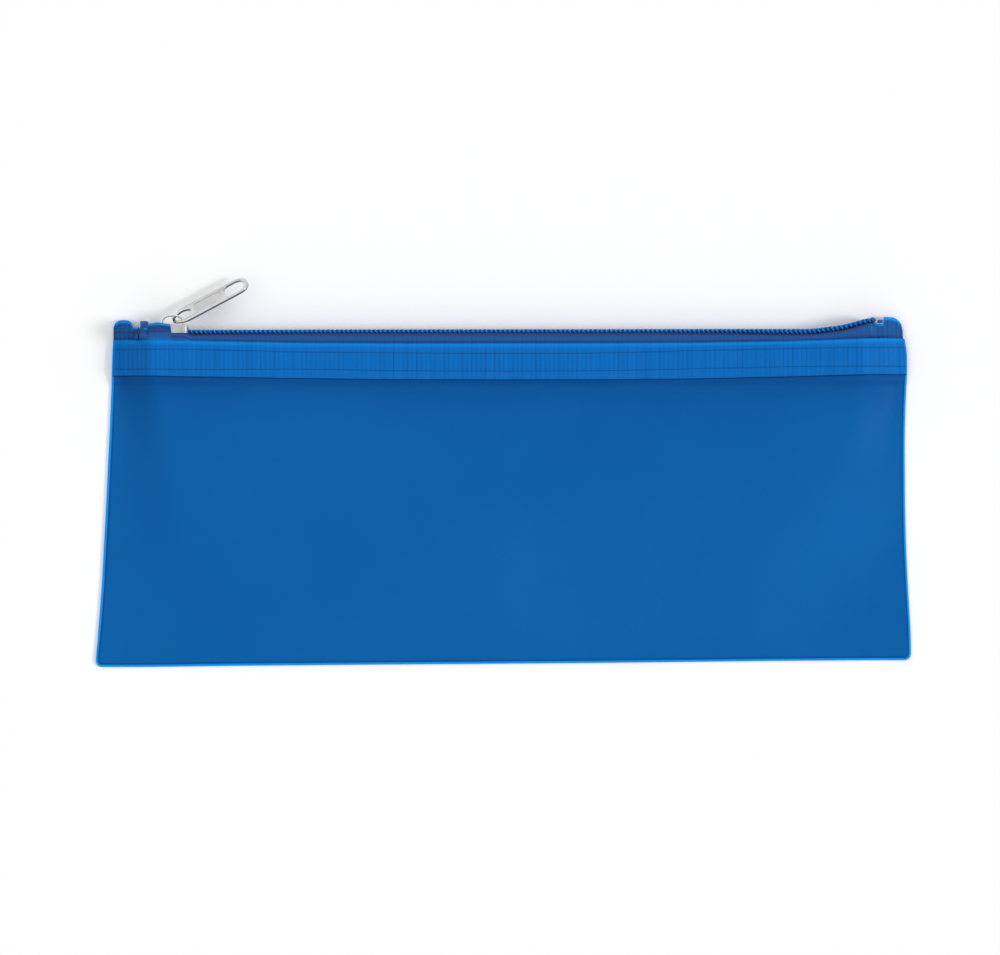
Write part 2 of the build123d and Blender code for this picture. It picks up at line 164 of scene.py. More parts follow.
def closed_grid(name, outer, inner, material, body, marks=None):
    """A closed skin from two equal grids of points."""
    m, n = outer.shape[:2]
    verts = np.concatenate([outer.reshape(-1, 3), inner.reshape(-1, 3)])
    idx = np.arange(m * n).reshape(m, n)
    a, b, c, d = idx[:-1, :-1], idx[1:, :-1], idx[1:, 1:], idx[:-1, 1:]
    top = np.stack([a, b, c, d], -1).reshape(-1, 4)
    low = np.stack([a, d, c, b], -1).reshape(-1, 4) + m * n
    k = m * n
    walls = []
    for p, q in zip(idx[:-1, 0], idx[1:, 0]):
        walls.append((p, p + k, q + k, q))
    for p, q in zip(idx[:-1, -1], idx[1:, -1]):
        walls.append((p, q, q + k, p + k))
    for p, q in zip(idx[0, :-1], idx[0, 1:]):
        walls.append((p, q, q + k, p + k))
    for p, q in zip(idx[-1, :-1], idx[-1, 1:]):
        walls.append((p, p + k, q + k, q))
    faces = top.tolist() + low.tolist() + walls
    obj = new_object(name, verts, faces, material, body)
    bm = bmesh.new()
    bm.from_mesh(obj.data)
    bmesh.ops.recalc_face_normals(bm, faces=bm.faces)
    bm.to_mesh(obj.data)
    bm.free()
    for key, (o_vals, i_vals) in (marks or {}).items():
        attr = obj.data.attributes.new(key, "FLOAT", "POINT")
        attr.data.foreach_set("value", np.concatenate([o_vals.reshape(-1), i_vals.reshape(-1)]).astype(np.float32))
    return obj


def frames_along(points):
    """Two unit normals at each point of a path, turned as little as possible."""
    tangent = np.gradient(points, axis=0)
    tangent /= np.linalg.norm(tangent, axis=1, keepdims=True) + 1e-12
    n = np.zeros_like(points)
    start = np.array([0.0, 0.0, 1.0])
    if abs(tangent[0] @ start) > 0.9:
        start = np.array([0.0, 1.0, 0.0])
    cur = start - tangent[0] * (start @ tangent[0])
    cur /= np.linalg.norm(cur)
    for i, t in enumerate(tangent):
        cur = cur - t * (cur @ t)
        cur /= np.linalg.norm(cur) + 1e-12
        n[i] = cur
    return n, np.cross(tangent, n)


def tube(points, radius, sides=7, squash_y=None):
    """Vertices and faces of a closed tube along a path."""
    points = np.asarray(points, float)
    radius = np.broadcast_to(np.asarray(radius, float), (len(points),))
    n, b = frames_along(points)
    ang = np.arange(sides) * 2 * math.pi / sides
    ring = (n[:, None, :] * np.cos(ang)[None, :, None] + b[:, None, :] * np.sin(ang)[None, :, None])
    v = points[:, None, :] + ring * radius[:, None, None]
    m = len(points)
    v = v.reshape(-1, 3)
    faces = []
    for i in range(m - 1):
        for j in range(sides):
            k = (j + 1) % sides
            faces.append((i * sides + j, i * sides + k, (i + 1) * sides + k, (i + 1) * sides + j))
    faces.append(tuple(range(sides))[::-1])
    faces.append(tuple((m - 1) * sides + j for j in range(sides)))
    return v, faces


def joined(parts):
    verts, faces, at = [], [], 0
    for v, f in parts:
        verts.append(v)
        faces += [tuple(i + at for i in face) for face in f]
        at += len(v)
    return np.concatenate(verts), faces


# -------------------------------------------------------------- materials
class Nodes:
    def __init__(self, name):
        self.mat = bpy.data.materials.new(name)
        self.mat.use_nodes = True
        self.tree = self.mat.node_tree
        self.tree.nodes.clear()
        self.out = self.add("ShaderNodeOutputMaterial")
        self.bsdf = self.add("ShaderNodeBsdfPrincipled")
        self.link(self.bsdf.outputs[0], self.out.inputs[0])

    def add(self, kind, **values):
        node = self.tree.nodes.new(kind)
        for key, value in values.items():
            setattr(node, key, value)
        return node

    def link(self, a, b):
        self.tree.links.new(a, b)

    def coords(self, scale):
        geo = self.add("ShaderNodeTexCoord")
        mapping = self.add("ShaderNodeMapping")
        mapping.inputs["Scale"].default_value = scale
        self.link(geo.outputs["Object"], mapping.inputs["Vector"])
        return mapping.outputs["Vector"]

    def noise(self, scale, detail=3.0, rough=0.55, vector=None, distortion=0.0):
        node = self.add("ShaderNodeTexNoise")
        node.inputs["Scale"].default_value = scale
        node.inputs["Detail"].default_value = detail
        node.inputs["Roughness"].default_value = rough
        node.inputs["Distortion"].default_value = distortion
        self.link(vector if vector is not None else self.coords((1, 1, 1)), node.inputs["Vector"])
        return node.outputs["Fac"]

    def ramp(self, fac, stops):
        node = self.add("ShaderNodeValToRGB")
        while len(node.color_ramp.elements) < len(stops):
            node.color_ramp.elements.new(0.5)
        for el, (pos, col) in zip(node.color_ramp.elements, stops):
            el.position = pos
            el.color = (*col, 1.0) if len(col) == 3 else col
        self.link(fac, node.inputs["Fac"])
        return node.outputs["Color"]

    def span(self, fac, lo, hi, a=0.0, b=1.0):
        node = self.add("ShaderNodeMapRange")
        node.clamp = True
        for key, value in (("From Min", lo), ("From Max", hi), ("To Min", a), ("To Max", b)):
            node.inputs[key].default_value = value
        self.link(fac, node.inputs["Value"])
        return node.outputs["Result"]

    def math(self, op, a, b=None):
        node = self.add("ShaderNodeMath", operation=op)
        for i, v in enumerate((a, b)):
            if v is None:
                continue
            if isinstance(v, (int, float)):
                node.inputs[i].default_value = v
            else:
                self.link(v, node.inputs[i])
        return node.outputs[0]

    def mix(self, fac, a, b, mode="MIX"):
        node = self.add("ShaderNodeMix", data_type="RGBA", blend_type=mode)
        for sock, v in ((node.inputs[0], fac), (node.inputs[6], a), (node.inputs[7], b)):
            if isinstance(v, (int, float)):
                sock.default_value = v
            elif isinstance(v, tuple):
                sock.default_value = (*v, 1.0) if len(v) == 3 else v
            else:
                self.link(v, sock)
        return node.outputs[2]

    def attribute(self, name):
        node = self.add("ShaderNodeAttribute", attribute_name=name)
        return node.outputs["Fac"]

    def bump(self, height, strength, distance, normal=None):
        node = self.add("ShaderNodeBump")
        node.inputs["Strength"].default_value = strength
        node.inputs["Distance"].default_value = distance
        self.link(height, node.inputs["Height"])
        if normal is not None:
            self.link(normal, node.inputs["Normal"])
        return node.outputs["Normal"]

    def finish(self, color=None, rough=None, normal=None, metallic=0.0, specular=0.5, sheen=0.0, coat=0.0, coat_rough=0.2):
        b = self.bsdf.inputs
        b["Metallic"].default_value = metallic
        b["Specular IOR Level"].default_value = specular
        b["Sheen Weight"].default_value = sheen
        b["Coat Weight"].default_value = coat
        b["Coat Roughness"].default_value = coat_rough
        for key, v in (("Base Color", color), ("Roughness", rough), ("Normal", normal)):
            if v is None:
                continue
            if isinstance(v, (int, float)):
                b[key].default_value = v
            elif isinstance(v, tuple):
                b[key].default_value = (*v, 1.0)
            else:
                self.link(v, b[key])
        return self.mat


def vinyl_material():
    m = Nodes("vinyl")
    broad = m.noise(14.0, 3.0, 0.5)
    fine = m.noise(900.0, 4.0, 0.6)
    color = m.ramp(broad, [(0.25, (0.0030, 0.103, 0.352)), (0.50, (0.0036, 0.116, 0.380)), (0.75, (0.0046, 0.128, 0.405))])
    color = m.mix(m.span(fine, 0.3, 0.7, 0.0, 0.10), color, (0.0022, 0.075, 0.27))
    # painted highlight: the fused rim is painted bright cyan, as light from all round catches the edges
    rim = m.attribute("rim")
    color = m.mix(rim, color, (0.0030, 0.300, 0.900))
    # painted shade where the sheet turns down under the band and in the pressed groove by the rim, and a thin painted
    # shadow along the band's lower edge
    shade = m.attribute("shade")
    color = m.mix(shade, color, (0.0040, 0.060, 0.250))
    band_shadow = m.attribute("band_shadow")
    color = m.mix(band_shadow, color, (0.0030, 0.030, 0.140))
    # calendered grain: shallow cells with fine pores between them
    vor = m.add("ShaderNodeTexVoronoi", feature="SMOOTH_F1")
    vor.inputs["Scale"].default_value = 1500.0
    vor.inputs["Smoothness"].default_value = 0.6
    warp = m.coords((1.0, 0.85, 1.0))
    m.link(warp, vor.inputs["Vector"])
    grain = m.bump(vor.outputs["Distance"], 0.20, 0.00006)
    pores = m.bump(fine, 0.14, 0.00005, grain)
    waves = m.bump(m.noise(60.0, 2.0, 0.45), 0.20, 0.0006, pores)
    rough = m.span(m.noise(45.0, 4.0, 0.6), 0.3, 0.7, 0.40, 0.52)
    return m.finish(color, rough, waves, specular=0.03, coat=0.0, coat_rough=0.35)


def tape_material():
    m = Nodes("tape")
    v = m.coords((1, 1, 1))
    warp = m.add("ShaderNodeTexWave", wave_type="BANDS", bands_direction="X")
    warp.inputs["Scale"].default_value = 640.0
    warp.inputs["Distortion"].default_value = 0.6
    warp.inputs["Detail"].default_value = 1.0
    m.link(v, warp.inputs["Vector"])
    weft = m.add("ShaderNodeTexWave", wave_type="BANDS", bands_direction="Y")
    weft.inputs["Scale"].default_value = 470.0
    weft.inputs["Distortion"].default_value = 0.8
    m.link(v, weft.inputs["Vector"])
    weave = m.math("MULTIPLY", warp.outputs["Fac"], weft.outputs["Fac"])
    fuzz = m.noise(2600.0, 4.0, 0.65)
    streak = m.noise(1.0, 4.0, 0.6, m.coords((420.0, 26.0, 26.0)))
    base = m.ramp(streak, [(0.25, (0.0026, 0.142, 0.486)), (0.50, (0.0030, 0.157, 0.540)), (0.75, (0.0036, 0.170, 0.585))])
    base = m.mix(m.span(fuzz, 0.35, 0.75, 0.0, 0.24), base, (0.0060, 0.062, 0.24))
    base = m.mix(m.span(weave, 0.0, 0.5, 0.14, 0.0), base, (0.0030, 0.060, 0.24))
    # tape beyond the fold is darker and a little greyer
    free = m.attribute("free")
    base = m.mix(free, base, (0.0180, 0.103, 0.320))
    # painted shade: darker lines in the two grooves, in the rib valleys and just past the fold
    line = m.attribute("line")
    base = m.mix(line, base, (0.0040, 0.062, 0.225))
    # painted shadow, dark purple: at the coil's root, in the tails' rib valleys, under the bulge by the slider and
    # along the strip left of it
    root_shadow = m.attribute("root_shadow")
    base = m.mix(root_shadow, base, (0.0260, 0.022, 0.100))
    # painted highlight: bright cyan on the fold, the band's ends and the cut edges
    rim = m.attribute("rim")
    base = m.mix(rim, base, (0.0030, 0.290, 0.880))
    n1 = m.bump(weave, 0.35, 0.00007)
    n2 = m.bump(fuzz, 0.25, 0.00004, n1)
    n3 = m.bump(streak, 0.20, 0.00008, n2)
    return m.finish(base, 0.66, n3, specular=0.05)


def coil_material():
    m = Nodes("coil")
    n = m.noise(700.0, 3.0, 0.5)
    color = m.ramp(n, [(0.3, (0.0036, 0.165, 0.540)), (0.7, (0.0060, 0.235, 0.700))])
    color = m.mix(m.attribute("shade"), color, (0.0260, 0.028, 0.125))
    color = m.mix(m.attribute("lit"), color, (0.0030, 0.300, 0.900))
    return m.finish(color, m.span(n, 0.3, 0.7, 0.32, 0.46), m.bump(n, 0.15, 0.00004), specular=0.18)


def thread_material(name, color_a, color_b, scale):
    m = Nodes(name)
    wave = m.add("ShaderNodeTexWave", wave_type="BANDS", bands_direction="DIAGONAL")
    wave.inputs["Scale"].default_value = scale
    wave.inputs["Distortion"].default_value = 0.5
    m.link(m.coords((1, 1, 1)), wave.inputs["Vector"])
    color = m.ramp(wave.outputs["Fac"], [(0.2, color_a), (0.8, color_b)])
    return m.finish(color, 0.7, m.bump(wave.outputs["Fac"], 0.5, 0.00005), specular=0.2)


def stop_material():
    m = Nodes("stop")
    n = m.noise(500.0, 4.0, 0.6)
    color = m.ramp(n, [(0.3, (0.0036, 0.085, 0.300)), (0.7, (0.0056, 0.120, 0.390))])
    return m.finish(color, m.span(n, 0.3, 0.7, 0.38, 0.55), m.bump(n, 0.25, 0.00006), specular=0.3)


def metal_material(name, tone, rough_lo, rough_hi, scratch):
    m = Nodes(name)
    marks = m.noise(1.0, 5.0, 0.7, m.coords(scratch))
    cloud = m.noise(260.0, 3.0, 0.5)
    a = tuple(0.90 * t for t in tone)
    color = m.ramp(cloud, [(0.3, a), (0.7, tone)])
    # painted shade, dark grey, in the crown's arch and on the pull's hole walls, side wall, sunk panel and end bar
    color = m.mix(m.attribute("metal_shade"), color, (0.085, 0.085, 0.105))
    rough = m.span(marks, 0.3, 0.7, rough_lo, rough_hi)
    n1 = m.bump(marks, 0.10, 0.00003)
    n2 = m.bump(cloud, 0.06, 0.00005, n1)
    return m.finish(color, rough, n2, metallic=1.0, specular=0.5)


VINYL = vinyl_material()
TAPE = tape_material()
COIL = coil_material()
CORD = thread_material("cord", (0.006, 0.110, 0.37), (0.008, 0.160, 0.50), 900.0)
THREAD = thread_material("thread", (0.004, 0.170, 0.540), (0.005, 0.260, 0.780), 2200.0)
STOP = stop_material()
SLIDER_METAL = metal_material("slider_metal", (0.86, 0.86, 0.85), 0.22, 0.36, (500.0, 90.0, 500.0))
PULL_METAL = metal_material("pull_metal", (0.83, 0.83, 0.83), 0.24, 0.40, (260.0, 60.0, 260.0))


# ------------------------------------------------------------ vinyl sheets
def lines(stops):
    """Grid positions between marks: [(mark, number of steps to the next), ...]."""
    out = []
    for (a, n), (b, _) in zip(stops, stops[1:]):
        out += list(a + (b - a) * np.arange(n) / n)
    return np.array(out + [stops[-1][0]])


def sheet_grid_xy():
    rim = [0.0, 0.06, 0.14, 0.24, 0.34, 0.48, 0.64, 0.78, 0.88, 0.98, 1.08, 1.20, 1.40, 1.8, 2.4, 3.4, 4.8, 6.6]
    across = lines([(0.0, 150), (1.0, 0)])
    # x: rim offsets at both ends, even steps between
    rows_y = [("low", d) for d in rim]
    rows_y += [("abs", y) for y in lines([(-48.0, 56), (33.0, 10), (35.8, 26), (39.0, 5), (47.0, 3), (SHEET_TOP_Y, 0)])]
    grid = []
    for kind, val in rows_y:
        y_mid = val if kind == "abs" else -56.0 + val
        left, right = float(left_edge(y_mid)), float(right_edge(y_mid))
        inset = 0.0
        if kind == "low" and val < 2.2:
            inset = 2.2 - math.sqrt(max(0.0, 2.2 ** 2 - (2.2 - val) ** 2))
        left, right = left + inset, right - inset
        xs = np.concatenate([
            [left + d for d in rim],
            (left + rim[-1]) + across[1:-1] * (right - left - 2 * rim[-1]),
            [right - d for d in rim[::-1]],
        ])
        if kind == "abs":
            ys = np.full_like(xs, val)
            if val < -44:
                # ease the slanting rim rows into the level ones
                w = 1.0 - smooth(np.array((val + 48.0) / 4.0))
                ys = ys + w * (bottom_edge(xs) + 56.0)
        else:
            ys = bottom_edge(xs) + val
        grid.append(np.stack([xs, ys], -1))
    return np.array(grid)


XY = sheet_grid_xy()
gx, gy = XY[..., 0], XY[..., 1]


def corner_distance(x, y):
    """Distance in from the outline, round the two bottom corners as well."""
    dx = np.minimum(x - left_edge(y), right_edge(y) - x)
    dy = y - bottom_edge(x)
    r = 2.2
    near = (dx < r) & (dy < r)
    round_d = r - np.sqrt(np.clip(r - dx, 0, None) ** 2 + np.clip(r - dy, 0, None) ** 2)
    return np.where(near, round_d, np.minimum(dx, dy))


edge_d = np.clip(corner_distance(gx, gy), 0.0, None)
flat_rim = smooth(edge_d / 0.30)
rim_bead = 0.07 * np.exp(-((edge_d - 0.42) / 0.22) ** 2) - 0.17 * np.exp(-((edge_d - 0.98) / 0.17) ** 2)
body_lift = lift(gx, gy) * smooth((edge_d - 0.9) / 1.5)
wave = ripples(gx, gy) * room(gx, gy) * (1.0 - smooth((gy - 33.0) / 4.0))
front_top = base_z(gy) + 2 * SHEET_T + body_lift + wave - 0.36 * (1.0 - flat_rim) + rim_bead
front_low = np.minimum(base_z(gy) + SHEET_T + 0.01 + body_lift + wave, front_top - 0.02)
back_low = base_z(gy) + 0.30 * (1.0 - flat_rim) + 0.012
back_top = np.maximum(base_z(gy) + SHEET_T - 0.01, back_low + 0.02)
# painted highlight mask along the outline of both sheets
rim_highlight_mark = np.clip(1.0 - smooth((edge_d - 0.60) / 0.25), 0, 1)
dark_line = np.exp(-((edge_d - 0.98) / 0.20) ** 2)


# painted shade under the band and in the rim groove, and a painted contact shadow along the band's lower edge
under_band = band_low(gx) - gy
shade_mark = 0.74 * np.exp(-np.clip(under_band, 0, None) / 7.5) * (under_band > -1.0) * smooth((edge_d - 0.3) / 3.0)
shade_mark = np.maximum(shade_mark, 0.62 * np.exp(-((edge_d - 1.02) / 0.30) ** 2))
band_shadow_mark = 0.95 * np.exp(-((under_band - 0.08) / 0.22) ** 2)


def stack(z):
    return np.stack([gx, gy, z], -1)


front_vinyl = closed_grid("front_vinyl", stack(front_top), stack(front_low), VINYL, "bag", {"rim": (rim_highlight_mark, rim_highlight_mark), "shade": (shade_mark, shade_mark), "band_shadow": (band_shadow_mark, band_shadow_mark)})
back_vinyl = closed_grid("back_vinyl", stack(back_top), stack(back_low), VINYL, "bag", {"rim": (rim_highlight_mark, rim_highlight_mark)})
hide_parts("front_panel")
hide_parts("back_panel")

# ------------------------------------------------------------- zipper tapes


def split(x):
    x = np.asarray(x, float)
    ramp = SPLIT * smooth((-106.2 - x) / 3.8)
    fade = np.where(x < -112.6, np.clip(1.0 - 0.56 * (-112.6 - x) / 5.6, 0.4, 1.0), 1.0)
    return ramp * fade


def rise(x):
    """The chain climbs towards its right end."""
    x = np.asarray(x, float)
    one, two = math.tan(math.radians(6.0)), math.tan(math.radians(16.0))
    y = one * np.clip(x - 101.0, 0, 9.5) + two * np.clip(x - 110.5, 0, 9.2)
    return y


rise_soft = soft_table([(float(x), float(rise(x))) for x in np.arange(80, 132, 1.0)], 2.0)
sag_y = soft_table([(-130, -0.58), (-96, -0.60), (-60, -0.50), (-20, -0.44), (20, -0.42), (45, -0.37), (70, -0.33), (99, -0.33), (106, -0.10), (130, 0.0)], 1.5)


def chain_y(x):
    x = np.asarray(x, float)
    return np.where(x > 84, rise_soft(x), 0.0) + sag_y(x)


inner_edge = [(-127.4, 53.6), (-127.1, 54.6), (-126.5, 55.4), (-125.6, 55.95), (-124.2, 56.15), (-122.6, 56.05), (-121.8, 55.6),
              (-121.25, 54.6), (-120.95, 53.55), (-118.9, 53.5)]
inner_edge_right = [(120.2, 54.95), (121.4, 54.80), (124.05, 54.85), (124.25, 57.15), (127.0, 57.05), (128.4, 56.45), (129.5, 55.4),
                    (130.1, 54.2), (130.35, 52.6)]


def mix_paths(a, b, w):
    return [(p[0] * (1 - w) + q[0] * w, p[1] * (1 - w) + q[1] * w) for p, q in zip(a, b)]


def sheet_top(x, y):
    return float(base_z(y) + 2 * SHEET_T + lift(np.array(float(x)), np.array(float(y))))


def free_path(x, front):
    """Middle line of the tape from the fold to its inner edge: 10 points (Y, Z)."""
    yf = float(fold_y(x))
    cy = 51.34 + float(chain_y(x))
    s = float(split(x))
    sign = 1.0 if front else -1.0
    if front:
        zt = sheet_top(x, 47.6) + 0.28
    else:
        zt = 0.262
    if front:
        c = float(np.interp(x, [-104, -96, -60, 0, 50, 74, 92], [0.15, 0.35, 0.55, 0.62, 0.55, 0.35, 0.0]))
        normal = [(yf - 0.70, zt + 0.02), (yf - 0.22, zt - 0.14), (yf - 0.06, zt - 0.55), (yf + 0.22, zt - 0.98),
                  (yf * 0.62 + cy * 0.38, CHAIN_Z + 3.62), (cy - 0.35 + 0.6 * c, CHAIN_Z + 3.66), (cy + 0.08 + c, CHAIN_Z + 3.42),
                  (cy + 0.06 + 0.8 * c, CHAIN_Z + 3.12), (cy, CHAIN_Z + 2.75 - 0.5 * (c < 0.1)), (cy, CHAIN_Z + 0.95)]
    else:
        normal = [(yf - 0.70, zt), (yf - 0.1, zt), (yf + 0.5, zt + 0.04), (yf + 1.0, zt + 0.14),
                  (cy - 1.1, zt + 0.42), (cy - 0.5, zt + 0.95), (cy - 0.12, zt + 1.55), (cy, CHAIN_Z - 3.0), (cy, CHAIN_Z - 2.2), (cy, CHAIN_Z - 0.95)]
    # beside the slider the tape goes through its side slots and round its shoulders
    near = float(smooth((x + 116.4) / 3.0) * smooth((-101.0 - x) / 3.2))
    bulge = float(smooth((x + 115.95) / 0.75) * smooth((-107.75 - x) / 0.55))
    cover = float(smooth((x + 119.0) / 0.8) * smooth((-115.3 - x) / 0.6))
    if front:
        beside = [(yf - 0.70, zt + 0.02), (yf - 0.15, zt + 0.02), (yf + 0.5, max(zt, 10.35)), (50.2, 10.50),
                  (50.9, 10.52), (51.30, 10.40), (51.36, 10.0), (51.34, 9.2), (51.34, CHAIN_Z + 2.2 + s), (51.34, CHAIN_Z + 0.95 + s)]
        if near > 0:
            normal = mix_paths(normal, beside, near)
        if bulge > 0:
            hump = 0.45 * float(np.exp(-((x + 112.4) / 2.6) ** 2))
            out = [(yf - 0.70, zt + 0.02), (yf + 0.1, zt + 0.05), (51.0, 10.45), (52.8, 10.72),
                   (54.05 + hump, 10.62), (54.35 + hump, 10.38), (53.4, 10.30), (51.7, 10.22), (51.34, CHAIN_Z + 2.9 + s), (51.34, CHAIN_Z + 0.95 + s)]
            normal = mix_paths(normal, out, bulge)
        if cover > 0:
            out = [(yf - 0.70, zt + 0.02), (yf + 0.1, zt + 0.05), (50.4, 10.2), (52.0, 10.28),
                   (53.0, 10.25), (53.30, 10.05), (52.6, 9.98), (51.7, 9.95), (51.34, 9.4), (51.34, CHAIN_Z + 0.95 + s)]
            normal = mix_paths(normal, out, cover)
    else:
        beside = [(yf - 0.70, zt), (yf - 0.1, zt), (yf + 0.4, zt), (50.0, zt), (50.8, zt), (51.22, zt + 0.06), (51.34, 0.55), (51.34, 1.2),
                  (51.34, CHAIN_Z - 2.2 - s), (51.34, CHAIN_Z - 0.95 - s)]
        if near > 0:
            normal = mix_paths(normal, beside, near)
    # beyond the ends of the chain both tapes lie flat, one on the other
    flat = 1.0 - float(smooth((x + 121.4) / 2.6) * smooth((122.6 - x) / 3.4))
    stop_zone = x < -118.6 or x > 120.0
    if flat > 0 or stop_zone:
        if x < 0:
            yi = float(np.interp(x, [p[0] for p in inner_edge], [p[1] for p in inner_edge]))
        else:
            yi = float(np.interp(x, [p[0] for p in inner_edge_right], [p[1] for p in inner_edge_right]))
        if not stop_zone:
            yi = cy
        yi = max(yi, yf + 0.6)
        half_gap = 0.30
        mid = 1.05 + (0.42 * (zt - 1.6) if front else 0.30 * (sheet_top(x, 47.6) - 1.32) * 0.4)
        zi = mid + (half_gap if front else -half_gap)
        zi = max(zi, 0.27)
        z0 = zt
        start = [(yf - 0.70, z0 + 0.02 * front), (yf - 0.22, z0 - 0.06 * front), (yf - 0.04, z0 + (zi - z0) * 0.35), (yf + 0.25, z0 + (zi - z0) * 0.85)]
        ys = np.linspace(yf + 0.9, yi, 6)
        tail = start + [(float(yy), zi) for yy in ys]
        w = flat if not (x < -120.9 or x > 123.9) else 1.0
        if stop_zone and w < 1:
            # keep the edge profile where the tape still leans towards the chain
            lean = mix_paths(normal, tail, w)
            shift = yi - lean[-1][0]
            lean = [(yy + shift * max(0.0, (k - 4) / 5.0), zz) for k, (yy, zz) in enumerate(lean)]
            normal = lean
        else:
            normal = mix_paths(normal, tail, w)
    return normal


def catmull(points, sub):
    p = np.array(points, float)
    ext = np.vstack([2 * p[0] - p[1], p, 2 * p[-1] - p[-2]])
    out = []
    for i in range(1, len(ext) - 2):
        p0, p1, p2, p3 = ext[i - 1], ext[i], ext[i + 1], ext[i + 2]
        for k in range(sub):
            t = k / sub
            out.append(0.5 * ((2 * p1) + (-p0 + p2) * t + (2 * p0 - 5 * p1 + 4 * p2 - p3) * t * t + (-p0 + 3 * p1 - 3 * p2 + p3) * t ** 3))
    out.append(ext[-2])
    return np.array(out)


RIB = 1.49


def rib_hash(k):
    return (math.sin(k * 12.9898 + 4.1) * 43758.5453) % 1.0


def tape_stations():
    xs = []
    lo, hi = -127.35, 130.35
    k = math.floor(lo / RIB)
    while k * RIB < hi + RIB:
        for off in (-0.26, -0.10, 0.0, 0.10, 0.26, 0.745):
            x = k * RIB + off
            if lo + 0.1 < x < hi - 0.1:
                xs.append(x)
        k += 1
    # sharp steps in the tape's inner edge
    for x in (-121.8, -121.4, -121.15, -120.95, -120.6, -119.2, -118.75, -118.45, -116.0, -115.8, -115.6, -115.4, -115.2, -108.4, -108.25, -108.1, -107.95, -107.75, 119.9, 120.3, 124.02, 124.12, 124.25):
        xs = [v for v in xs if abs(v - x) > 0.07] + [x]
    return np.array(sorted([lo, lo + 0.05] + xs + [hi - 0.05, hi]))


STATIONS = tape_stations()


def rib_depth(x):
    k = round(x / RIB)
    d = x - k * RIB
    h = rib_hash(k)
    deep = 0.030 + 0.075 * h * h
    half_line = x - (math.floor(x / RIB) + 0.5) * RIB
    fine = 0.010 * math.exp(-(half_line / 0.2) ** 2)
    return deep * math.exp(-(d / 0.13) ** 2) + fine, math.exp(-(d / 0.12) ** 2) * (0.25 + 0.75 * h)


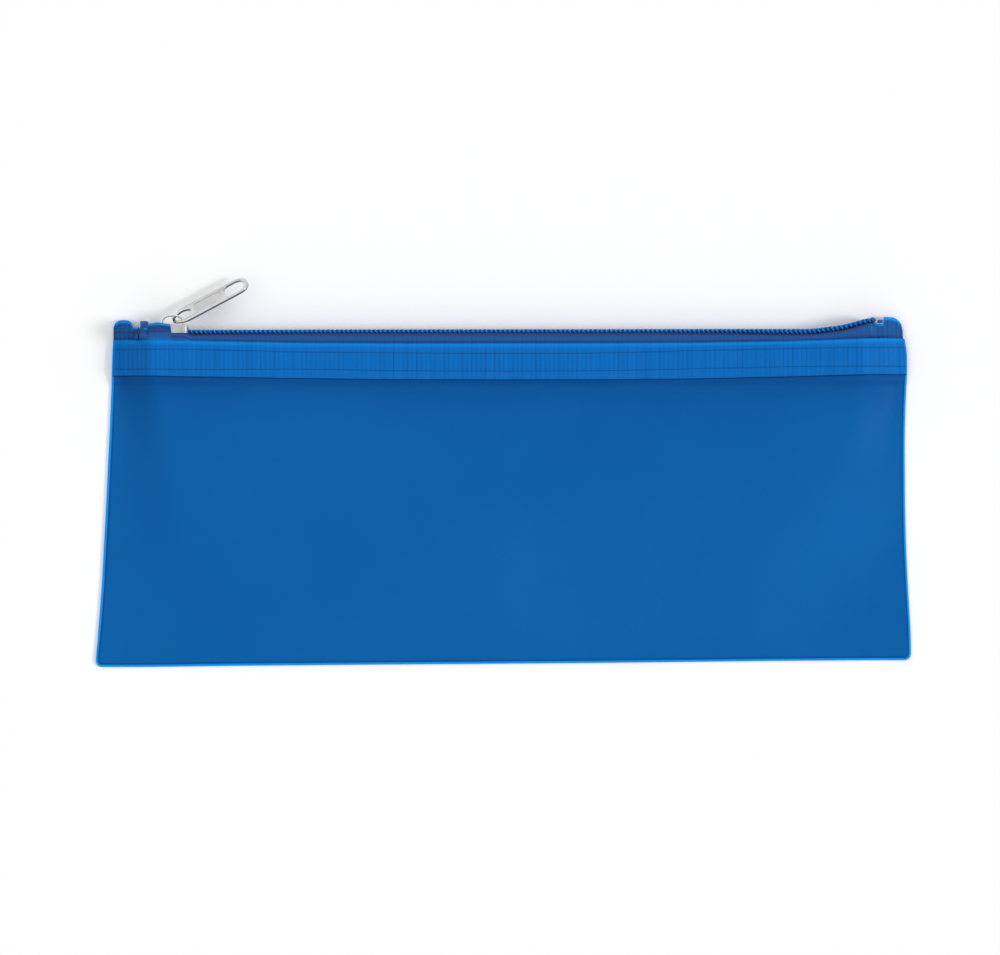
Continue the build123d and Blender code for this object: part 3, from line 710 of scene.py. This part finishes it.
def make_tape(front):
    sub = 3
    outer, inner, free_m, line_m, highlight_m, root_shadow_m = [], [], [], [], [], []
    n_first = 0
    for x in STATIONS:
        yb, y2, y1, yf = (float(f(x)) for f in (band_low, groove_low, groove_top, fold_y))
        ys = [yb, yb + 0.06, yb + 0.2, yb + 0.55, y2 - 0.8, y2 - 0.30, y2 - 0.13, y2, y2 + 0.13, y2 + 0.30, y2 + 0.8]
        a, b = y2 + 0.8, y1 - 0.8
        ys += [a + (b - a) * t for t in (0.2, 0.4, 0.6, 0.8, 1.0)]
        ys += [y1 - 0.30, y1 - 0.13, y1, y1 + 0.13, y1 + 0.30, y1 + 0.8]
        a, b = y1 + 0.8, yf - 0.70
        ys += [a + (b - a) * t for t in (0.33, 0.66)]
        if front:
            zs = [sheet_top(x, min(y, 48.0)) + 0.28 for y in ys]
        else:
            zs = [0.262 for _ in ys]
        band = np.array(list(zip(ys, zs)))
        free = catmull(free_path(x, front), sub)
        pts = np.vstack([band, free])
        n_band = len(band)
        d = np.gradient(pts, axis=0)
        d /= np.linalg.norm(d, axis=1, keepdims=True) + 1e-9
        nrm = np.stack([-d[:, 1], d[:, 0]], -1)
        side = 1.0 if front else -1.0
        depth, mark = rib_depth(x)
        k = np.arange(len(pts))
        groove = sum(np.exp(-((pts[:, 0] - g) / 0.13) ** 2) for g in (y2, y1)) * (k < n_band)
        arc = np.concatenate([[0], np.cumsum(np.linalg.norm(np.diff(pts, axis=0), axis=1))])
        calm = np.clip(arc / 0.5, 0, 1)
        # ribs are clearest between the two grooves
        tail_deep = 1.0 if (x < -119.5 or x > 122.0) else 0.55
        mid = 1.0 * ((pts[:, 0] > y2) & (pts[:, 0] < y1) & (k < n_band)) + np.where(k > n_band, tail_deep, 0.55) * ~((pts[:, 0] > y2) & (pts[:, 0] < y1) & (k < n_band))
        proud = TAPE_T / 2 - depth * mid * calm - 0.10 * groove
        round_off = 0.12 * np.exp(-(arc / 0.07) ** 2)
        proud = proud - round_off
        back = np.full(len(pts), TAPE_T / 2)
        up = pts + nrm * proud[:, None] * side
        low = pts - nrm * back[:, None] * side
        if not front:
            up[:, 1] = np.maximum(up[:, 1], 0.006)
        # the band's ends follow the side welds
        xs = np.full(len(pts), x)
        for end, edge, x_end in ((-1, left_edge, STATIONS[0]), (1, right_edge, STATIONS[-1])):
            w = max(0.0, 1.0 - abs(x - x_end) / 7.0)
            if w > 0:
                want = edge(np.minimum(pts[:, 0], yf)) - end * 0.02
                hold = (k < n_band + 4) * 1.0
                xs = xs + (want - x_end) * w * hold
                below = np.clip((k - n_band) / 12.0, 0, 1)
                xs = xs + (1 - hold) * (float(edge(yf)) - x_end) * w * (1 - below) * 0.6
        outer.append(np.column_stack([xs, up]))
        inner.append(np.column_stack([xs, low]))
        beyond = np.clip((pts[:, 0] - yf - 0.02) / 0.25, 0, 1) * (k > n_band)
        free_m.append(beyond * 0.92)
        tail_here = float(smooth((-120.3 - x) / 1.0) + smooth((x - 121.0) / 3.0))
        # painted shade in the hollow just past the fold
        shade_past_fold = 0.55 * np.exp(-((pts[:, 0] - yf - 0.25) / 0.16) ** 2) * (k > n_band)
        line_m.append(np.clip(0.90 * groove + 0.62 * mark * mid + shade_past_fold, 0, 1))
        open_here = (1.0 - min(tail_here, 1.0)) * (1.0 - float(smooth((x - 118.6) / 1.2)))
        # painted shadow at the coil's root, along the strip and in the tails' rib valleys
        root_shadow_m.append(np.clip(0.85 * np.exp(-((k - (n_band + 18)) / 3.2) ** 2) * open_here * (k > n_band + 9) + 0.85 * min(tail_here, 1.0) * (0.35 + 0.65 * mark) * mark * (k > n_band + 6) + 0.60 * np.exp(-((k - (n_band + 10)) / 1.9) ** 2), 0, 1))
        # painted shadow under the bulge beside the slider
        if -115.6 < x < -107.9:
            under = np.exp(-((pts[:, 0] - 53.25 - 0.35 * math.exp(-((x + 112.2) / 2.4) ** 2)) / 0.28) ** 2)
            root_shadow_m[-1] = np.maximum(root_shadow_m[-1], 0.75 * under * ((k > n_band + 5) & (k < n_band + 12)))
        # painted shadow along the strip left of the slider
        if x < -107.6:
            left_root_shadow = 0.70 * np.exp(-((pts[:, 0] - 52.15) / 0.26) ** 2) * (k > n_band + 3) * (k < n_band + 24)
            root_shadow_m[-1] = np.maximum(root_shadow_m[-1], left_root_shadow)
        end_d = min(abs(x - STATIONS[0]), abs(x - STATIONS[-1]))
        end_highlight = math.exp(-(end_d / 0.45) ** 2) * (k < n_band) * 0.85
        # a painted highlight on the fold, on the band's ends, on the tail's cut edge and on the top of the bulge beside
        # the slider
        fold_highlight = 0.50 * np.exp(-((k - (n_band + 1.0)) / 2.0) ** 2)
        edge_glint = 0.0
        if x < -118.6 or x > 119.8:
            edge_glint = 0.9 * (k >= len(pts) - 3)
        if -116.5 < x < -107.8:
            edge_glint = 0.75 * ((k > n_band + 11) & (k < n_band + 15))
        highlight_m.append(np.clip(end_highlight + fold_highlight + edge_glint, 0, 1))
    outer, inner = np.array(outer), np.array(inner)
    marks = {"free": np.array(free_m), "line": np.array(line_m), "rim": np.array(highlight_m), "root_shadow": np.array(root_shadow_m)}
    name = "front_tape" if front else "back_tape"
    obj = closed_grid(name, outer, inner, TAPE, "bag", {k: (v, v) for k, v in marks.items()})
    return obj


front_tape = make_tape(True)
back_tape = make_tape(False)
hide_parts("front_zipper_tape")
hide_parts("back_zipper_tape")

# -------------------------------------------------------------- coil rows
COIL_X0, COIL_X1 = -115.2, 120.3


def coil_row(sign, phase):
    """One filament wound into a flattened coil, loop by loop."""
    pts, rad = [], []
    k = math.ceil((COIL_X0 + 0.4 - phase) / COIL_PITCH)
    r0 = 0.300
    while phase + k * COIL_PITCH + 1.0 < COIL_X1:
        x = phase + k * COIL_PITCH
        loop = [(x - 0.36, 51.90, 1.90), (x - 0.14, 51.90, 1.10), (x - 0.03, 51.90, 0.50)]
        for ang in (-60, -30, 0, 30, 60):
            a = math.radians(ang)
            loop.append((x, 52.5 + 0.60 * math.sin(a), 0.45 - 0.60 * math.cos(a)))
        loop += [(x + 0.03, 53.10, 0.50), (x + 0.14, 53.10, 1.10), (x + 0.30, 53.10, 1.90)]
        for ang in (60, 25, -15, -55):
            a = math.radians(ang)
            t = (90 - ang) / 180
            loop.append((x + 0.30 + 0.84 * t ** 1.6, 52.5 + 0.60 * math.sin(a), 1.90 + 0.60 * math.cos(a)))
        swell = [1, 1, 1.05, 1.16, 1.22, 1.24, 1.22, 1.16, 1.05, 1.0, 1.12, 1.16, 1.10, 1.02, 1]
        for (px, py, pz), w in zip(loop, swell):
            pts.append((px, py + float(chain_y(px)), CHAIN_Z + sign * (pz + float(split(px)))))
            rad.append(r0 * w)
        k += 1
    v, f = tube(np.array(pts), np.array(rad), 8)
    level = v[:, 1] - chain_y(v[:, 0])
    hidden = 1.0 - 0.55 * smooth((v[:, 0] - 78.0) / 14.0)
    shade = 0.90 * smooth((52.62 - level) / 0.40) * hidden
    lit = 0.85 * smooth((level - 53.12) / 0.20)
    return v, f, shade, lit


def end_bead(sign):
    """The chain's melted end."""
    v, f = [], []
    n_u, n_v = 14, 9
    for i in range(n_v):
        for j in range(n_u):
            a, b = math.pi * i / (n_v - 1), 2 * math.pi * j / n_u
            v.append((120.25 + 0.98 * math.sin(a) * math.cos(b) * (1 + 0.08 * math.sin(5 * b)), 52.5 + 3.45 + 1.02 * math.sin(a) * math.sin(b), CHAIN_Z + sign * (1.35 - 1.25 * math.cos(a))))
    for i in range(n_v - 1):
        for j in range(n_u):
            k = (j + 1) % n_u
            f.append((i * n_u + j, i * n_u + k, (i + 1) * n_u + k, (i + 1) * n_u + j))
    return np.array(v, float), f


for name, node, sign, phase in (("front_coil_wire", "front_coil", 1.0, 0.0), ("back_coil_wire", "back_coil", -1.0, COIL_PITCH / 2)):
    wire_v, wire_f, shade, lit = coil_row(sign, phase)
    bead_v, bead_f = end_bead(sign)
    v, f = joined([(wire_v, wire_f), (bead_v, bead_f)])
    obj = new_object(name, v, f, COIL, "bag")
    bm = bmesh.new()
    bm.from_mesh(obj.data)
    layer = bm.verts.layers.float.new("shade")
    lit_layer = bm.verts.layers.float.new("lit")
    values = np.concatenate([shade, np.clip(0.70 - 0.9 * (bead_v[:, 1] - 56.1), 0.0, 0.85)])
    lit = np.concatenate([lit, np.clip(1.4 * (bead_v[:, 1] - 56.45), 0.0, 0.85)])
    bm.verts.ensure_lookup_table()
    for vert, value, bright in zip(bm.verts, values, lit):
        vert[layer] = float(value)
        vert[lit_layer] = float(bright)
    bmesh.ops.remove_doubles(bm, verts=bm.verts, dist=1e-7)
    bmesh.ops.recalc_face_normals(bm, faces=bm.faces)
    bm.to_mesh(obj.data)
    bm.free()
    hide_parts(node)

    # twisted filler cord inside the coil
    xs = np.arange(COIL_X0 + 0.2, COIL_X1 - 0.3, 0.5)
    strands = []
    for ply in range(3):
        ph = ply * 2 * math.pi / 3
        path = np.array([(x, 52.58 + 0.14 * math.sin(x * 2.1 + ph) + float(chain_y(x)), CHAIN_Z + sign * (1.42 + 0.42 * math.cos(x * 2.1 + ph) + float(split(x)))) for x in xs])
        strands.append(tube(path, 0.21, 6))
    v, f = joined(strands)
    obj = new_object(node + "_cord_strands", v, f, CORD, "bag")
    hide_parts(node + "_cord")

    # two lines of stitches hold the coil's legs down to the tape
    runs = []
    for off in (1.10, 2.02):
        path = []
        k = math.ceil((COIL_X0 + 0.5 - phase) / COIL_PITCH)
        while phase + k * COIL_PITCH + 1.2 < COIL_X1:
            x = phase + k * COIL_PITCH
            for dx, dy in ((-0.55, -0.14), (-0.28, -0.03), (0.0, 0.0), (0.28, -0.03), (0.55, -0.14)):
                px = x + dx * 0.98
                path.append((px, 53.36 + dy + float(chain_y(px)), CHAIN_Z + sign * (off + float(split(px)))))
            k += 1
        runs.append(tube(np.array(path), 0.125, 6))
    v, f = joined(runs)
    obj = new_object(node + "_stitches", v, f, THREAD, "bag")
    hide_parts(node + "_stitching")


# -------------------------------------------------------------- end stops
def moulded_block(name, lo, hi, bevel, skew, material, node, dimple=True):
    """A small moulded block with eased edges and, when dimple is set, a gate mark sunk into its top."""
    bm = bmesh.new()
    bmesh.ops.create_cube(bm, size=1.0)
    for v in bm.verts:
        t = [(c + 0.5) for c in v.co]
        v.co = Vector([lo[i] + (hi[i] - lo[i]) * t[i] for i in range(3)])
        if v.co.y > (lo[1] + hi[1]) / 2 and v.co.x > (lo[0] + hi[0]) / 2:
            v.co.x -= skew
    bmesh.ops.bevel(bm, geom=list(bm.edges), offset=bevel, segments=4, profile=0.6, affect="EDGES", clamp_overlap=True)
    top = [f for f in bm.faces if f.normal.z > 0.95]
    if dimple and top:
        face = max(top, key=lambda f: f.calc_area())
        got = bmesh.ops.inset_region(bm, faces=[face], thickness=bevel * 0.9)
        inner = [f for f in bm.faces if f.normal.z > 0.95 and f.calc_area() < face.calc_area() * 1.2]
        for v in face.verts:
            v.co.z -= 0.12
    for v in bm.verts:
        v.co *= MM
    mesh = bpy.data.meshes.new(name)
    bm.to_mesh(mesh)
    bm.free()
    mesh.polygons.foreach_set("use_smooth", [True] * len(mesh.polygons))
    obj = bpy.data.objects.new(name, mesh)
    scene.collection.objects.link(obj)
    mesh.materials.append(material)
    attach(obj, "bag")
    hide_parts(node)
    return obj


for name, node in (("front_stop_block", "front_top_stop"), ("back_stop_block", "back_top_stop"), ("bottom_stop_block", "bottom_stop")):
    lo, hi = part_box(node)
    lo, hi = [c * 1000 for c in lo], [c * 1000 for c in hi]
    if node == "bottom_stop":
        moulded_block(name, lo, hi, 0.22, 0.0, STOP, node, False)
    else:
        moulded_block(name, lo, hi, 0.35, 0.30, STOP, node)


# ---------------------------------------------------------- slider and pull
def eased_copy(node, name, width, material, body, segments=3):
    """The CAD shape with eased, rounded edges, as a die casting has."""
    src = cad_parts[node]
    bm = bmesh.new()
    bm.from_mesh(src.data)
    bmesh.ops.remove_doubles(bm, verts=bm.verts, dist=2e-6)
    bmesh.ops.dissolve_limit(bm, angle_limit=math.radians(1.0), verts=bm.verts, edges=bm.edges)
    sharp = [e for e in bm.edges if len(e.link_faces) == 2 and e.calc_face_angle(0) > math.radians(38)]
    bmesh.ops.bevel(bm, geom=sharp, offset=width * MM, segments=segments, profile=0.5, affect="EDGES", clamp_overlap=True, loop_slide=True)
    bmesh.ops.remove_doubles(bm, verts=bm.verts, dist=1e-6)
    bmesh.ops.triangulate(bm, faces=[f for f in bm.faces if len(f.verts) > 4])
    bmesh.ops.recalc_face_normals(bm, faces=bm.faces)
    mesh = bpy.data.meshes.new(name)
    bm.to_mesh(mesh)
    bm.free()
    mesh.polygons.foreach_set("use_smooth", [True] * len(mesh.polygons))
    obj = bpy.data.objects.new(name, mesh)
    scene.collection.objects.link(obj)
    mesh.materials.clear()
    mesh.materials.append(material)
    mod = obj.modifiers.new("normals", "WEIGHTED_NORMAL")
    mod.keep_sharp = False
    mod.weight = 80
    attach(obj, body)
    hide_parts(node)
    return obj


def place(name, v, f, material, body, node, sharp=35):
    obj = new_object(name, v, f, material, body)
    bm = bmesh.new()
    bm.from_mesh(obj.data)
    bmesh.ops.recalc_face_normals(bm, faces=bm.faces)
    bm.to_mesh(obj.data)
    bm.free()
    mod = obj.modifiers.new("normals", "WEIGHTED_NORMAL")
    mod.weight = 80
    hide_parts(node)
    return obj


casting = eased_copy("slider_body", "slider_casting", 0.17, SLIDER_METAL, "slider")

# the crown: a flat bar bent into an arch along the slider, its feet let into the plate
SLIDER_X, TOP_Y = -107.6, 54.50
mid_a, mid_b = 3.25 + 0.33, 2.60 + 0.33
arch = [(SLIDER_X - 0.2 + mid_a, 53.75), (SLIDER_X - 0.2 + mid_a, 54.0), (SLIDER_X - 0.2 + mid_a, 54.2)]
for k in range(0, 25):
    ang = math.pi * k / 24
    c, sn = math.cos(ang), math.sin(ang)
    arch.append((SLIDER_X - 0.2 + mid_a * math.copysign(abs(c) ** 0.75, c), TOP_Y + mid_b * abs(sn) ** 0.75))
arch += [(SLIDER_X - 0.2 - mid_a, 54.2), (SLIDER_X - 0.2 - mid_a, 54.0), (SLIDER_X - 0.2 - mid_a, 53.75)]
arch = np.array([(x, y, CHAIN_Z) for x, y in arch])
n, b = frames_along(arch)
ang = np.arange(20) * 2 * math.pi / 20
ca, sa = np.cos(ang), np.sin(ang)
ca, sa = np.sign(ca) * abs(ca) ** 0.6, np.sign(sa) * abs(sa) ** 0.6
flare = np.interp(np.arange(len(arch)), [0, 3, 8, len(arch) - 9, len(arch) - 4, len(arch) - 1], [1.35, 1.15, 1.0, 1.0, 1.15, 1.35])
ring = n[:, None, :] * (0.55 * ca)[None, :, None] * flare[:, None, None] + b[:, None, :] * (0.33 * sa)[None, :, None] * (0.5 + 0.5 * flare)[:, None, None]
v = (arch[:, None, :] + ring).reshape(-1, 3)
f = []
for i in range(len(arch) - 1):
    for j in range(20):
        k = (j + 1) % 20
        f.append((i * 20 + j, i * 20 + k, (i + 1) * 20 + k, (i + 1) * 20 + j))
f += [tuple(range(20))[::-1], tuple((len(arch) - 1) * 20 + j for j in range(20))]
crown = place("crown_arch", v, f, SLIDER_METAL, "slider", "slider_crown")
centre = np.array([SLIDER_X - 0.2, 54.6])
# painted shade on the arch's inner face, and a little on its outer edge
middle = np.repeat(arch, 20, axis=0)
inward = np.einsum("ij,ij->i", (v - middle)[:, :2], (centre - middle[:, :2]) / np.linalg.norm(centre - middle[:, :2], axis=1, keepdims=True)) / 0.33
mark = crown.data.attributes.new("metal_shade", "FLOAT", "POINT")
mark.data.foreach_set("value", (0.92 * smooth((inward - 0.15) / 0.5) + 0.35 * smooth((-inward - 0.8) / 0.2)).astype(np.float32))

# the pull: a stamped plate with rolled edges, an eye, a sunk panel and a long hole
th, tw = math.radians(28.0), math.radians(48.0)
A = np.array([math.cos(th), math.sin(th), 0.0])
U = np.array([-math.sin(th), math.cos(th), 0.0])
N = U * math.sin(tw) + np.array([0, 0, 1.0]) * math.cos(tw)
W = U * math.cos(tw) - np.array([0, 0, 1.0]) * math.sin(tw)
HINGE = np.array([-107.4, 55.8, CHAIN_Z])


def round_loop(half, closed_tip=True, steps=6, passes=3):
    """A smooth closed loop from (x, half width) pairs, by corner cutting."""
    pts = [(x, w) for x, w in half] + [(x, -w) for x, w in half[::-1]]
    pts = np.array(pts, float)
    for _ in range(passes):
        nxt = np.roll(pts, -1, axis=0)
        pts = np.stack([0.75 * pts + 0.25 * nxt, 0.25 * pts + 0.75 * nxt], 1).reshape(-1, 2)
    return pts


def grown(pts, d):
    """The loop moved outwards by d."""
    t = np.roll(pts, -1, axis=0) - np.roll(pts, 1, axis=0)
    t /= np.linalg.norm(t, axis=1, keepdims=True)
    area = 0.5 * np.sum(pts[:, 0] * np.roll(pts[:, 1], -1) - np.roll(pts[:, 0], -1) * pts[:, 1])
    nrm = np.stack([t[:, 1], -t[:, 0]], -1) * (1 if area > 0 else -1)
    return pts + nrm * d


def plate(loops, holes, half_t, bevel, at):
    """A flat plate with rounded edges from an outline and holes, as vertices and faces in local axes."""
    cu = bpy.data.curves.new("plate", "CURVE")
    cu.dimensions = "2D"
    cu.fill_mode = "BOTH"
    cu.extrude = half_t - bevel
    cu.bevel_depth = bevel
    cu.bevel_resolution = 3
    for pts in [grown(p, -bevel) for p in loops] + [grown(p, bevel) for p in holes]:
        sp = cu.splines.new("POLY")
        sp.points.add(len(pts) - 1)
        for q, (x, w) in zip(sp.points, pts):
            q.co = (x, w, 0, 1)
        sp.use_cyclic_u = True
    tmp = bpy.data.objects.new("plate", cu)
    scene.collection.objects.link(tmp)
    bpy.context.view_layer.update()
    me = bpy.data.meshes.new_from_object(tmp.evaluated_get(bpy.context.evaluated_depsgraph_get()))
    bm = bmesh.new()
    bm.from_mesh(me)
    bmesh.ops.remove_doubles(bm, verts=bm.verts, dist=1e-4)
    pts = np.array([tuple(vert.co) for vert in bm.verts])
    faces = [tuple(vert.index for vert in face.verts) for face in bm.faces]
    bm.free()
    bpy.data.objects.remove(tmp)
    bpy.data.curves.remove(cu)
    bpy.data.meshes.remove(me)
    pts[:, 2] += at
    return pts, faces


outline = round_loop([(-0.35, 0.75), (0.1, 1.5), (1.6, 2.45), (3.4, 3.35), (5.4, 3.52), (12.0, 3.52), (19.0, 3.52), (23.2, 3.52), (25.3, 3.30), (26.6, 2.35), (27.15, 1.0)], passes=3)
eye_hole = round_loop([(0.55, 0.95), (1.8, 1.65), (3.4, 2.15), (5.0, 2.0), (6.5, 0.85)], passes=2)
panel_hole = round_loop([(7.8, 2.0), (8.4, 2.35), (12.0, 2.35), (16.4, 2.35), (17.4, 1.9), (17.8, 1.0)], passes=2)
long_hole = round_loop([(18.7, 1.2), (19.6, 2.35), (21.0, 2.66), (23.4, 2.66), (24.8, 2.25), (25.7, 1.1)], passes=3)
frame_v, frame_f = plate([outline], [eye_hole, panel_hole, long_hole], 0.50, 0.20, 0.0)
web_v, web_f = plate([grown(panel_hole, 0.35)], [], 0.27, 0.08, 0.0)
v, f = joined([(frame_v, frame_f), (web_v, web_f)])
thin = np.interp(v[:, 0], [0.6, 5.2], [0.70, 1.0])
world_v = HINGE + v[:, :1] * A + v[:, 1:2] * W + (v[:, 2] * thin)[:, None] * N

# painted shade in the corners: hole walls, the lower side wall, the sunk panel and the end bar under the crown
n_frame = len(frame_v)
is_web = np.arange(len(v)) >= n_frame


def loop_gap(p, loop):
    return np.min(np.linalg.norm(p[:, None, :2] - loop[None, :, :], axis=2), axis=1)


flat = v.copy()
mid_wall = smooth((0.40 - np.abs(v[:, 2])) / 0.08)
metal_shade = 0.50 * mid_wall * (loop_gap(flat, outline) < 0.12)
metal_shade = np.maximum(metal_shade, 0.42 * mid_wall * (loop_gap(flat, long_hole) < 0.12))
metal_shade = np.maximum(metal_shade, 0.85 * mid_wall * (loop_gap(flat, eye_hole) < 0.12))
metal_shade = np.maximum(metal_shade, 0.80 * mid_wall * (loop_gap(flat, panel_hole) < 0.12))
metal_shade = np.where(is_web, 0.10, metal_shade)
metal_shade = np.maximum(metal_shade, 0.75 * smooth((0.75 - v[:, 0]) / 0.5))
pull_piece = place("pull_plate", world_v, f, PULL_METAL, "pull", "pull_tab")
mark = pull_piece.data.attributes.new("metal_shade", "FLOAT", "POINT")
mark.data.foreach_set("value", metal_shade.astype(np.float32))


# ------------------------------------------------------------------- stage
floor_mesh = bpy.data.meshes.new("floor")
floor_mesh.from_pydata([(-6, -6, -0.00002), (6, -6, -0.00002), (6, 6, -0.00002), (-6, 6, -0.00002)], [], [(0, 1, 2, 3)])
floor = bpy.data.objects.new("floor", floor_mesh)
scene.collection.objects.link(floor)
fm = Nodes("floor_paper")
floor_mesh.materials.append(fm.finish((0.965, 0.965, 0.965), 0.9, fm.bump(fm.noise(300.0, 3.0), 0.02, 0.0005), specular=0.1))

cam_data = bpy.data.cameras.new("camera")
camera = bpy.data.objects.new("camera", cam_data)
scene.collection.objects.link(camera)
cam_data.lens = 200.0
cam_data.sensor_width = 36.0
WIDTH = 1000 * 0.3266 * MM
distance = WIDTH * cam_data.lens / cam_data.sensor_width
camera.location = (-1.143 * MM, 4.736 * MM, distance + 0.001)
camera.rotation_euler = (0.0, 0.0, 0.0)
cam_data.clip_start, cam_data.clip_end = 0.05, 20.0
scene.camera = camera


def sun(name, azimuth, elevation, strength, angle):
    data = bpy.data.lights.new(name, "SUN")
    data.energy = strength
    data.angle = math.radians(angle)
    obj = bpy.data.objects.new(name, data)
    scene.collection.objects.link(obj)
    az, el = math.radians(azimuth), math.radians(elevation)
    towards = Vector((math.cos(el) * math.cos(az), math.cos(el) * math.sin(az), math.sin(el)))
    obj.rotation_mode = "QUATERNION"
    obj.rotation_quaternion = (-towards).to_track_quat("-Z", "Y")
    return obj


# soft key from the right, three broad fills round the rest
sun("key", -2, 33, 1.62, 16)
sun("fill_left", 160, 46, 0.74, 60)
sun("fill_low", 262, 48, 0.38, 60)
sun("fill_top", 80, 50, 0.46, 60)

world = bpy.data.worlds.new("world")
world.use_nodes = True
wt = world.node_tree
coord = wt.nodes.new("ShaderNodeTexCoord")
axes = wt.nodes.new("ShaderNodeSeparateXYZ")
wt.links.new(coord.outputs["Generated"], axes.inputs[0])
level = wt.nodes.new("ShaderNodeMapRange")
for key, value in (("From Min", 0.10), ("From Max", 0.28), ("To Min", 0.06), ("To Max", 0.395)):
    level.inputs[key].default_value = value
wt.links.new(axes.outputs["Z"], level.inputs["Value"])
wt.nodes["Background"].inputs[0].default_value = (1.0, 1.0, 1.0, 1.0)
wt.links.new(level.outputs["Result"], wt.nodes["Background"].inputs[1])
scene.world = world
scene.view_settings.view_transform = "Standard"
